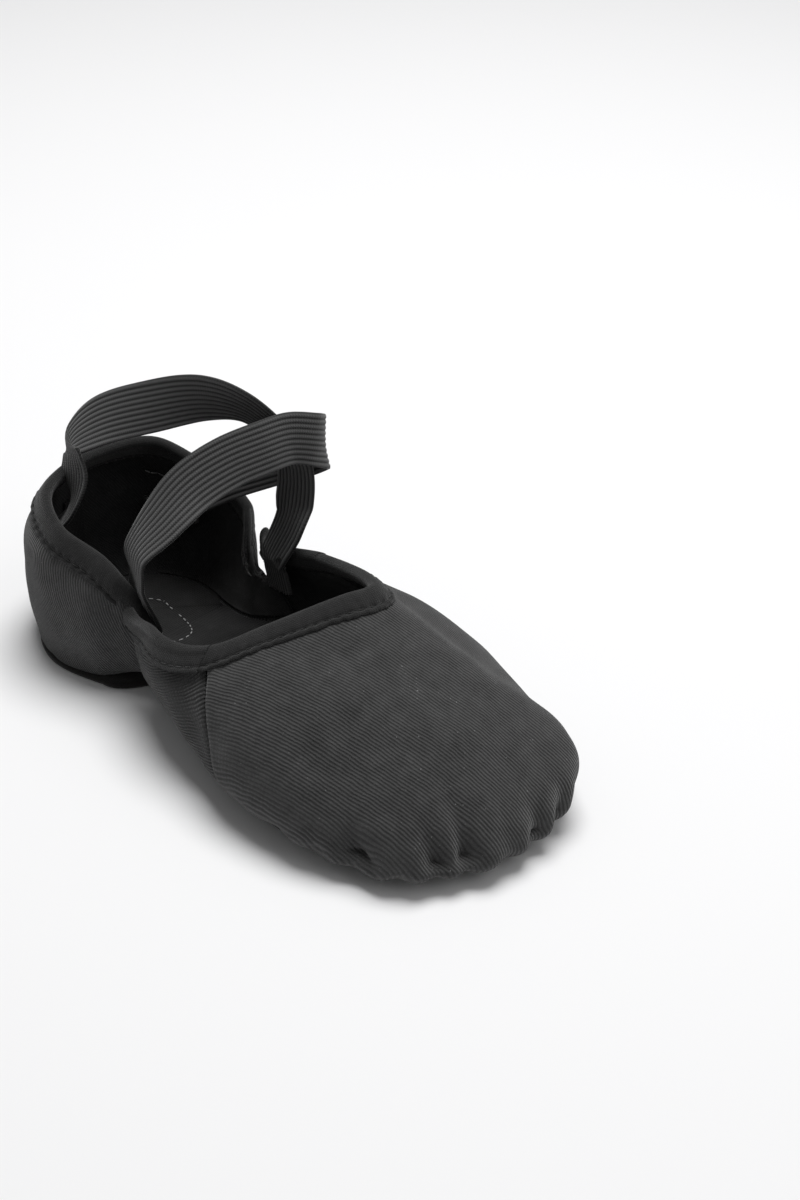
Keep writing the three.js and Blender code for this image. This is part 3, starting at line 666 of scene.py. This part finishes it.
def top_stations(u, sink, drop, count=60):
    """A function that gives points a distance h below the topline, at an offset from the last."""
    v = np.linspace(TOP, 3.2, count) * np.ones((len(u), 1))
    across_u = u[:, None] * np.ones(count)
    line = surface(across_u, v)
    normal = outward(across_u, v)
    steps = np.linalg.norm(np.diff(line, axis=1), axis=-1)
    gone = np.concatenate([np.zeros((len(u), 1)), np.cumsum(steps, axis=1)], axis=1)
    line = line - normal * sink[:, None, None]
    line[..., 2] -= drop[:, None] * smooth(v, DROP_FOOT, TOP)
    rise = line[:, 0] - line[:, 2]
    rise /= np.linalg.norm(rise, axis=-1, keepdims=True)

    def at(h, offset):
        """h and offset are arrays of the same length as u. h below 0 is above the topline."""
        below = np.maximum(h, 0)
        point = np.empty((len(u), 3))
        for i in range(len(u)):
            for k in range(3):
                point[i, k] = np.interp(below[i], gone[i], line[i, :, k])
            n = np.array([np.interp(below[i], gone[i], normal[i, :, k]) for k in range(3)])
            point[i] += n / np.linalg.norm(n) * offset[i]
        return point + rise * np.maximum(-h, 0)[:, None]

    return at


def binding_section(at, u_count, ragged, pucker, proud=1.0):
    """The folded tape's section at each station: outer face, roll over the top, inner face and back."""
    one = np.ones(u_count)
    middle, half = -WALL / 2, WALL / 2
    rows = []
    for h, o in TAPE_FACE:
        lip = smooth(h, 5.1, 6.4)
        near = swell(h, BINDING_STITCH, 1.2)
        rows.append(at(h + ragged * lip, one * o * proud + 0.30 * lip * ragged + 0.22 * near * pucker))
    height, overhang = ROLL_OUTER
    for a in np.linspace(0, math.pi, 11):
        rows.append(at(-one * height * math.sin(a), one * (middle + (half + overhang) * math.cos(a))))
    for h, o in TAPE_INSIDE:
        lip = smooth(h, 5.0, 6.1)
        rows.append(at(h + ragged[::-1] * lip * 1.5, -one * (WALL + o + 0.25 * lip * ragged)))
    for h, o in TAPE_BACK_INSIDE:
        rows.append(at(h * one, -one * (WALL + o)))
    height, overhang = ROLL_INNER
    for a in np.linspace(math.pi, 0, 7):
        rows.append(at(-one * height * math.sin(a), one * (middle + (half + overhang) * math.cos(a))))
    for h, o in TAPE_BACK_FACE:
        rows.append(at(h * one, one * o))
    return np.stack(rows, 1)


def stitches(name, starts, ends, radius, material, sides=7, rings=7):
    """One mesh of short rounded stitches, each between two points."""
    points, faces, uv = [], [], []
    for a, b in zip(starts, ends):
        axis = b - a
        long = np.linalg.norm(axis)
        axis = axis / long
        side = np.cross(axis, [0.3, 0.5, 0.8])
        side /= np.linalg.norm(side)
        other = np.cross(axis, side)
        base = len(points)
        for i in range(rings):
            t = i / (rings - 1)
            r = radius * math.sqrt(max(0.06, 1 - (2 * t - 1) ** 4))
            for k in range(sides):
                q = 2 * math.pi * k / sides
                points.append(a + axis * long * t + (side * math.cos(q) + other * math.sin(q)) * r)
                uv.append((long * t, radius * q))
        faces += grid_faces(rings, sides, base, close_cols=True)
        faces += [tuple(range(base, base + sides))[::-1],
                  tuple(base + (rings - 1) * sides + k for k in range(sides))]
    return make(name, points, faces, uv, material)


def along_pitch(line, pitch, share=0.72, start=0.5):
    """Pairs of points, one pair for each stitch along a line."""
    gone = lengths(line)
    places = np.arange(start * pitch, gone[-1] - pitch * share, pitch)

    def pick(distances):
        return np.stack([np.interp(distances, gone, line[:, k]) for k in range(3)], -1)

    return pick(places), pick(places + pitch * share)


def build_binding(stretch, u, sink, drop, proud=1.0, flat=False):
    """One stretch of the topline: its tape, its stitches, the overlock inside and the cord."""
    at = top_stations(u, sink, drop)
    crown = surface(u, np.full(len(u), TOP))
    gone = lengths(crown)
    ragged = np.array([noise.noise(Vector((d / 3.4, 3.1, 0))) * 0.55
                       + noise.noise(Vector((d / 1.1, 9.7, 0))) * 0.3 for d in gone])
    ragged *= 0.4 if flat else 1.0
    pucker = np.cos(gone / STITCH_PITCH * 2 * math.pi) * (0.2 if flat else 0.8)
    section = binding_section(at, len(u), ragged, pucker, proud)
    girth = lengths(section[len(u) // 2])
    uv = np.stack([gone[:, None] * np.ones(section.shape[1]), girth * np.ones((len(u), 1))], -1)
    bends(sweep(f"{stretch}_tape", section, uv, binding_tape), "binding", f"{stretch}_binding")
    one = np.ones(len(u))
    row = at(one * BINDING_STITCH, one * (0.42 * proud + 0.16))
    sewn = stitches(f"{stretch}_row_of_stitches", *along_pitch(row, STITCH_PITCH), 0.17, dark_thread)
    bends(sewn, "thread", f"{stretch}_stitching")
    inner = at(one * BINDING_STITCH, -one * (WALL + 1.0))
    zig = at(one * (BINDING_STITCH + 2.0), -one * (WALL + 0.9))
    a, b = along_pitch(inner, STITCH_PITCH)
    c, _ = along_pitch(zig, STITCH_PITCH)
    count = min(len(a), len(c))
    bends(stitches(f"{stretch}_overlock", np.concatenate([a[:count], b[:count]]),
                   np.concatenate([c[:count], c[:count]]), 0.2, dark_thread), "thread")
    # the cord keeps its CAD place inside the tape
    core = at(-one * (0.3 + CORD / 2), -one * WALL / 2)
    ring = np.linspace(0, 2 * math.pi, CORD_SIDES, endpoint=False)
    tangent = np.gradient(core, axis=0)
    tangent /= np.linalg.norm(tangent, axis=-1, keepdims=True)
    side = np.cross(tangent, [0, 0, 1.0])
    side /= np.linalg.norm(side, axis=-1, keepdims=True)
    other = np.cross(side, tangent)
    tube = core[:, None] + (side[:, None] * np.cos(ring)[None, :, None]
                            + other[:, None] * np.sin(ring)[None, :, None]) * CORD / 2
    uv = np.stack([gone[:, None] * np.ones(CORD_SIDES), ring * CORD / 2 * np.ones((len(u), 1))], -1)
    bends(sweep(f"{stretch}_elastic_cord", tube, uv, cord_braid), "cord", f"{stretch}_cord")


def build_topline():
    start = vamp_seam(TOP) + JOIN
    u = np.linspace(start, TURNS - start, 300)
    build_binding("throat", u, np.zeros(len(u)), np.zeros(len(u)))
    fold_u = quarter_seam(TOP)
    per_u = float(across(fold_u, TOP))
    for stretch, outer_side in (("waist_outer", True), ("waist_inner", False)):
        u = np.linspace(fold_u - 0.6 / per_u, vamp_seam(TOP) - JOIN, 110)
        w = u if outer_side else (TURNS - u)[::-1]
        flare = arch_flare((side_of(w) - fold_u) * per_u, TOP)
        build_binding(stretch, w, -0.3 - flare, np.zeros(len(u)), proud=0.75, flat=True)
    end = fold_u + 4.0 / per_u
    u = np.linspace(TURNS - end, TURNS + end, 420)
    ds = (side_of(u) - fold_u) * per_u
    top = np.full(len(u), TOP)
    build_binding("heel", u, fold_sink(ds, top), fold_drop(ds, top))


# ---- Elastics -----------------------------------------------------------------------------------
POINTS_PER_RIB = 8
GROOVE = 0.30  # depth of the grooves between the ribs
CUP = 0.35  # how far the band cups across its width
HEM, PINCH = 0.72, 0.35  # the hem's place as a share of the sewn end, and how much it thins the band
TACK_PLACE, TACK_GAP = 0.22, 1.6  # the first row's place as a share of the sewn end, and the second's


def sewn_end(u, v, travel, room, facing=None):
    """A sewn end's middle, way forward, normal and width direction, on the wall unless facing is given."""
    normal = -outward(u, v)
    middle = surface(u, v) + normal * (WALL + 0.3 + room + ELASTIC / 2)
    if facing is not None:
        normal = np.array(facing) / np.linalg.norm(facing)
    forward = np.array(travel, float)
    forward -= normal * (forward @ normal)
    forward /= np.linalg.norm(forward)
    return middle, forward, normal, np.cross(forward, normal)


UNDER_ROUTE = [
    ((-79.5, -19.5, 41), (-0.7, 0.7, -0.15)), ((-77, -17.5, 48), (-0.8, 0.5, -0.33)),
    ((-78, -16, 56), (-0.93, 0.1, -0.34)), ((-80, -14.5, 61.5), (-0.93, 0.33, -0.05)),
    ((-81, -12.5, 66.5), (-0.76, 0.54, 0.3)),
    ((-74, -6.5, 73.5), (-0.68, 0.3, 0.65)), ((-62, 2, 79.5), (-0.45, 0.08, 0.88)),
    ((-49, 12, 84), (0, -0.09, 0.99)), ((-38, 19.5, 82.5), (0.42, -0.26, 0.87)),
    ((-29, 25, 75), (0.7, -0.2, 0.68)), ((-24, 27.5, 65), (0.85, 0, 0.52)),
    ((-22, 25.5, 54), (0.88, 0.1, 0.44)), ((-21.5, 22.5, 47), (0.9, -0.1, 0.4)),
]
OVER_ROUTE = [
    ((-38, -24.5, 40), (-0.8, 0.42, -0.43)), ((-38, -24.5, 50), (-0.9, 0.2, -0.35)),
    ((-33, -18, 61), (-0.98, -0.14, 0)), ((-29.5, -9, 70), (-0.78, -0.18, 0.58)),
    ((-25, 1, 76), (-0.54, -0.18, 0.82)), ((-20.5, 12, 79), (-0.38, -0.12, 0.92)),
    ((-19, 21, 79), (-0.26, -0.03, 0.97)), ((-16, 28.5, 77), (-0.15, 0.05, 0.98)),
    ((-19, 34, 72.5), (-0.12, 0.03, 0.99)), ((-28, 33.5, 65.5), (-0.2, 0, 0.98)),
    ((-39, 28.5, 59), (-0.3, 0, 0.95)), ((-49.5, 20.5, 53), (-0.4, 0, 0.92)),
    ((-58.5, 16.5, 46), (-0.45, 0, 0.9)), ((-66.5, 17.5, 39.5), (-0.48, 0, 0.88)),
]


def line_at(points, t):
    points = np.asarray(points, float)
    padded = np.concatenate([[2 * points[0] - points[1]], points, [2 * points[-1] - points[-2]]])
    i = np.clip(np.floor(t).astype(int), 0, len(points) - 2)
    return spline(padded[i], padded[i + 1], padded[i + 2], padded[i + 3], t - i)


def elastic_frames(start, finish, route, count):
    """Centre line, direction across the band and direction through it, from one raw end to the other."""
    def end_nodes(end, toward, leaving):
        middle, forward, _, over = end
        sign = np.sign(over @ toward)
        ds = (-ELASTIC_END / 2, -ELASTIC_END / 6, ELASTIC_END / 3, ELASTIC_END / 2)
        nodes = [(middle + forward * d, over * sign) for d in ds]
        return nodes if leaving else nodes[::-1]

    middle = [(np.array(p, float), np.array(e, float)) for p, e in route]
    nodes = end_nodes(start, middle[0][1], True) + middle + end_nodes(finish, middle[-1][1], False)
    t = np.linspace(0, len(nodes) - 1, count)
    line = line_at([n[0] for n in nodes], t)
    even = np.interp(np.linspace(0, 1, count), lengths(line) / lengths(line)[-1], t)
    line, edge = line_at([n[0] for n in nodes], even), line_at([n[1] for n in nodes], even)
    travel = np.gradient(line, axis=0)
    travel /= np.linalg.norm(travel, axis=-1, keepdims=True)
    edge -= travel * (edge * travel).sum(-1, keepdims=True)
    edge /= np.linalg.norm(edge, axis=-1, keepdims=True)
    return line, travel, edge, np.cross(travel, edge)


def build_elastic(name, start, finish, route, body, nodes):
    line, travel, edge, face = elastic_frames(start, finish, route, 260)
    gone = lengths(line)
    a = np.linspace(-1, 1, ELASTIC_RIBS * POINTS_PER_RIB + 1)
    rib = 0.5 + 0.5 * np.cos((a + 1) * ELASTIC_RIBS * math.pi + math.pi)
    thick = ELASTIC / 2 - GROOVE + GROOVE * rib ** 0.6
    thick[0] = thick[-1] = ELASTIC / 2 * 0.55
    half = ELASTIC_WIDTH / 2
    cup = CUP * (1 - a**2)
    top = np.stack([a * half, cup + thick], -1)
    under = np.stack([a * half, cup - thick], -1)[::-1]
    profile = np.concatenate([top, under])
    sections = line[:, None] + edge[:, None] * profile[None, :, 0:1] + face[:, None] * profile[None, :, 1:2]
    # raw cut ends: each rib ends at a slightly different place
    comb = 0.5 * np.sin(profile[:, 0] / half * ELASTIC_RIBS * math.pi) + 0.35 * np.sin(profile[:, 0] * 2.3)
    sections[0] -= travel[0] * (comb[:, None] * 0.7 + 0.5)
    sections[-1] += travel[-1] * (comb[:, None] * 0.7 + 0.5)
    # the hem of stitches pulls the band thin where it is sewn down
    for where in (ELASTIC_END * HEM, gone[-1] - ELASTIC_END * HEM):
        pinch = PINCH * swell(gone, where, 0.9)
        centre = sections.mean(1, keepdims=True)
        through = np.abs(((sections - centre) * face[:, None]).sum(-1, keepdims=True))
        sections += (centre - sections) * pinch[:, None, None] * through / 2
    over = (profile[:, 0] + half) * np.ones((len(line), 1))
    uv = np.stack([gone[:, None] * np.ones(len(profile)), over], -1)
    band = sweep(name, sections, uv, elastic_band, 75)
    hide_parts(*nodes)
    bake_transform(band)


def build_tack(name, end, node):
    """Two rows of stitches across a sewn end, on both faces."""
    middle, forward, normal, over = end
    half = ELASTIC_WIDTH / 2 - 0.8
    rib = ELASTIC_WIDTH / ELASTIC_RIBS
    starts, ends = [], []
    for shift in (ELASTIC_END * TACK_PLACE, ELASTIC_END * TACK_PLACE + TACK_GAP):
        for side in (1, -1):
            base = middle + forward * shift + normal * side * (ELASTIC / 2 + 0.1)
            for a in np.arange(-half, half - rib * 0.5, rib):
                starts.append(base + over * (a + 0.15))
                ends.append(base + over * (a + rib - 0.15) + forward * 0.12 * (-1) ** len(starts))
    rides(stitches(name, starts, ends, 0.2, dark_thread), "heel", "thread", node)


def build_elastics():
    ends = {
        "under_elastic_rear": sewn_end(1.0, 2.9, (0.1, 0, 1), 2.6),
        "under_elastic_front": sewn_end(14.98, 4.4, (-0.3, 0.12, 0.94), 3.0, (-0.26, -0.96, -0.08)),
        "over_elastic_front": sewn_end(3.95, 2.6, (-0.1, 0, 1), 3.6),
        "over_elastic_rear": sewn_end(TURNS - 1.5, 2.9, (0.86, 0, 0.5), 3.2),
    }
    for band, route, first, last, body in (
            ("under_elastic", UNDER_ROUTE, "under_elastic_rear", "under_elastic_front", "under_strap"),
            ("over_elastic", OVER_ROUTE, "over_elastic_front", "over_elastic_rear", "over_strap")):
        nodes = (band, f"{first}_end", f"{last}_end")
        build_elastic(f"{band}_band", ends[first], ends[last], route, body, nodes)
    for name, end in ends.items():
        build_tack(f"{name}_stitches", end, f"{name}_tack")


# ---- Sole ---------------------------------------------------------------------------------------
# Profiles list (inset, height) from the bottom's middle round the edge to the top's.
PATCH_PROFILE = [(3.4, 0.0), (2.9, 0.25), (2.4, 0.0), (0.45, 0.0), (0.0, 0.4), (0.0, 0.95),
                 (0.35, PATCH), (3, PATCH)]
SOCK_PROFILE = [(1.0, SOCK_BOTTOM), (0.0, SOCK_BOTTOM + 0.3), (0.0, SOCK_BOTTOM + 0.8),
                (0.6, SOCK_BOTTOM + SOCK)]
SOCK_INSET = 3.2
GROOVE_INSET = 2.9  # the stitches' groove in the leather
# Each patch: where it starts and ends, its edge, its reach, and the same for the stitches inside.
PATCHES = (
    ("forefoot", (7.1, 12.9), 0.4, -26, (7.1, 12.9), 6.0, -4),
    ("heel", (16.9, 23.1), -3.2, 14, (17.2, 22.8), 19.0, 17),
)
SOLE_EDGE = ([-50, -36, -20, 6, 34], [2.6, 6, 8.5, 6, 2.8])  # x along the arch, height of its sole edge
SOCKS = (("forefoot", (6.85, 13.15), -1), ("heel", (16.95, 23.05), 1))
ARCH_SOCK = (3.12, 6.80)


def outline(first, last, inset, reach, count=150, rounds=40):
    """A patch's outline: along the sole edge, then a round end that reaches towards the arch."""
    u = np.linspace(first, last, count)
    points = round_ring(SOLE_RING, u) + inward(SOLE_RING, u) * inset
    a, b = points[-1], points[0]
    middle, half = (a + b) / 2, (a - b) / 2
    angle = np.linspace(0, math.pi, rounds + 2)[1:-1][:, None]
    end = middle + half * np.cos(angle) + np.array([reach, 0, 0]) * np.sin(angle)
    ring = np.concatenate([points, end])
    ring[:, 2] = 0
    return ring


def shrink(ring, distance):
    """The outline moved inwards by a distance."""
    step = np.roll(ring, -1, 0) - np.roll(ring, 1, 0)
    n = np.stack([-step[:, 1], step[:, 0], 0 * step[:, 0]], -1)
    n /= np.linalg.norm(n, axis=-1, keepdims=True)
    centre = ring.mean(0)
    n *= np.sign(((centre - ring) * n).sum(-1).mean())
    return ring + n * distance


def slab(name, ring, profile, material):
    """A plate with a shaped edge: profile lists (inset, height) from the bottom's middle to the top's."""
    centre = ring.mean(0)
    rows = []
    for inset, z in profile:
        row = shrink(ring, inset)
        row[:, 2] = z
        rows.append(row)
    rows = np.stack(rows)
    n, m = rows.shape[:2]
    points = [*rows.reshape(-1, 3)]
    faces = grid_faces(n, m, close_cols=True)
    # close both faces with rings that shrink to the centre
    for start, z in ((0, profile[0][1]), ((n - 1) * m, profile[-1][1])):
        rim = rows[0] if start == 0 else rows[-1]
        last = start
        for share in (0.75, 0.5, 0.25):
            base = len(points)
            ringed = centre + (rim - centre) * share
            ringed[:, 2] = z
            points += [*ringed]
            for k in range(m):
                l = (k + 1) % m
                quad = (last + k, last + l, base + l, base + k)
                faces.append(quad if start else quad[::-1])
            last = base
        middle = len(points)
        points.append(np.array([centre[0], centre[1], z]))
        for k in range(m):
            tri = (last + k, last + (k + 1) % m, middle)
            faces.append(tri if start else tri[::-1])
    points = np.array(points)
    return make(name, points, faces, points[:, :2], material)


def dashes(ring, z, pitch, share=0.7, wander=0.12):
    ring = ring.copy()
    ring[:, 2] = z
    line = np.concatenate([ring, ring[:1]])
    wave = np.array([noise.noise(Vector((i * 0.21, 1.7, 0))) for i in range(len(line))])
    line[:, :2] += wave[:, None] * wander
    return along_pitch(line, pitch, share)


def build_sole():
    for name, span, edge, reach, stitch_span, stitch_inset, stitch_reach in PATCHES:
        ring = outline(*span, edge, reach)
        rides(slab(f"{name}_leather", ring, PATCH_PROFILE, sole_suede), name, "leather", f"{name}_patch")
        below = dashes(shrink(ring, GROOVE_INSET), 0.34, 2.8)
        rides(stitches(f"{name}_patch_under_stitches", *below, 0.24, dark_thread), name, "thread")
        inside = outline(*stitch_span, stitch_inset, stitch_reach)
        edge_height = np.interp(inside[:, 0], *SOLE_EDGE)
        above = dashes(inside, np.maximum(edge_height + 1, SOCK_BOTTOM) + SOCK + 0.22, 2.7, 0.6)
        sewn = stitches(f"{name}_patch_inside_stitches", *above, 0.22, pale_thread)
        rides(sewn, name, "pale_thread", f"{name}_patch_stitching")
    for name, span, reach in SOCKS:
        sock = slab(f"{name}_sock_cloth", outline(*span, SOCK_INSET, reach), SOCK_PROFILE, sock_cloth)
        rides(sock, name, "lining", f"{name}_sock")
    u = np.linspace(*ARCH_SOCK, 90)
    a = round_ring(SOLE_RING, u) + inward(SOLE_RING, u) * SOCK_INSET
    b = round_ring(SOLE_RING, TURNS - u) + inward(SOLE_RING, TURNS - u) * SOCK_INSET
    s = np.linspace(0, 1, 40)[None, :, None]
    grid = a[:, None] * (1 - s) + b[:, None] * s
    grid[..., 2] = np.maximum(grid[..., 2] + 1, SOCK_BOTTOM) + SOCK
    up = np.zeros_like(grid)
    up[..., 2] = 1
    arch = shell("arch_sock_cloth", grid, SOCK, grid[..., :2].copy(), sock_cloth, up)
    bends(arch, "lining", "arch_sock")


# ---- Small pieces -------------------------------------------------------------------------------
LABEL_PLACE = (5.45, 3.1)
LABEL_SIZE = (24, 14)
LOOSE_THREAD = np.array([[-87.2, 19.2, 39.6], [-85.6, 20.4, 38.9], [-84.2, 22.2, 38.6], [-82.6, 23.6, 37.6]])


def build_small():
    v = np.linspace(1.7, 3.5, 40)[None, :] * np.ones((14, 1))
    u = np.linspace(-0.17, 0.17, 14)[:, None] * np.ones((1, 40))
    away = outward(u, v)
    outer = surface(u, v) - away * (WALL + 0.6)
    tape_piece = shell("back_seam_cover", outer, 0.8, side_cloth(u, v), binding_tape, away)
    rides(tape_piece, "heel", "binding", "back_seam_tape")
    # blank care label, tucked under the lining's edge and curling a little at its free end
    place_u, place_v = LABEL_PLACE
    long, tall = LABEL_SIZE
    per_u, per_v = float(across(place_u, place_v)), 11.0
    u = (place_u + np.linspace(-long / 2, long / 2, 40) / per_u)[:, None] * np.ones((1, 26))
    v = (place_v + np.linspace(-tall / 2, tall / 2, 26) / per_v)[None, :] * np.ones((40, 1))
    away = outward(u, v)
    curl = 0.8 * smooth(np.linspace(0, 1, 26), 0.65, 0)[None, :] * np.ones((40, 1))
    outer = surface(u, v) - away * (WALL + 0.7 + curl)[..., None]
    label = shell("blank_label", outer, 0.25, side_cloth(u, v), label_satin, away)
    bends(label, "label", "care_label")


def build_loose_thread():
    """The tail of a stitching thread, hanging inside the inner side of the heel."""
    tail = stitches("loose_thread", LOOSE_THREAD[:-1], LOOSE_THREAD[1:], 0.22, pale_thread)
    rides(tail, "heel", "pale_thread")


build_vamp()
for outer_side in (True, False):
    build_arch(outer_side)
    build_quarter(outer_side)
build_topline()
build_elastics()
build_sole()
build_small()
build_loose_thread()


# ---- Floor, light and camera, in metres ---------------------------------------------------------
FLOOR_HALF = 6.0
FLOOR_COLOUR = (0.86, 0.86, 0.865, 1)
AIM = (0.0, 0.0015, 0.020)
WORLD_LIGHT = 0.20
LIGHTS = (
    ("key", (-0.15, 0.30, 1.35), 0.9, 19.0),
    ("fill", (0.9, 0.3, 1.1), 1.2, 2.4),
)
AZIMUTH, ELEVATION, DISTANCE = math.radians(47), math.radians(36), 0.570
LENS, SENSOR = 56.43, 36.0
SHIFT = (0.098, 0.046)


def build_stage():
    mesh = bpy.data.meshes.new("floor")
    r = FLOOR_HALF
    mesh.from_pydata([(-r, -r, 0), (r, -r, 0), (r, r, 0), (-r, r, 0)], [], [(0, 1, 2, 3)])
    floor = bpy.data.objects.new("floor", mesh)
    bpy.context.scene.collection.objects.link(floor)
    material = bpy.data.materials.new("pale_floor")
    material.use_nodes = True
    shader = material.node_tree.nodes["Principled BSDF"]
    shader.inputs["Base Color"].default_value = FLOOR_COLOUR
    shader.inputs["Roughness"].default_value = 0.9
    shader.inputs["Specular IOR Level"].default_value = 0.1
    mesh.materials.append(material)
    world = bpy.data.worlds.new("studio")
    world.use_nodes = True
    world.node_tree.nodes["Background"].inputs[0].default_value = (1, 1, 1, 1)
    world.node_tree.nodes["Background"].inputs[1].default_value = WORLD_LIGHT
    bpy.context.scene.world = world
    for name, place, size, power in LIGHTS:
        lamp = bpy.data.lights.new(name, "AREA")
        lamp.shape = "DISK"
        lamp.size = size
        lamp.energy = power
        lamp_object = bpy.data.objects.new(name, lamp)
        lamp_object.location = place
        aim = Vector(AIM) - Vector(place)
        lamp_object.rotation_euler = aim.to_track_quat("-Z", "Y").to_euler()
        bpy.context.scene.collection.objects.link(lamp_object)
    bpy.context.scene.view_settings.view_transform = "Standard"


def build_camera():
    data = bpy.data.cameras.new("camera")
    data.lens = LENS
    data.sensor_width = SENSOR
    data.shift_x, data.shift_y = SHIFT
    camera = bpy.data.objects.new("camera", data)
    level = math.cos(ELEVATION)
    back = Vector((math.sin(AZIMUTH) * level, -math.cos(AZIMUTH) * level, math.sin(ELEVATION)))
    camera.location = Vector(AIM) + back * DISTANCE
    camera.rotation_euler = (-back).to_track_quat("-Z", "Y").to_euler()
    data.clip_start = 0.01
    bpy.context.scene.collection.objects.link(camera)
    bpy.context.scene.camera = camera


build_stage()
build_camera()
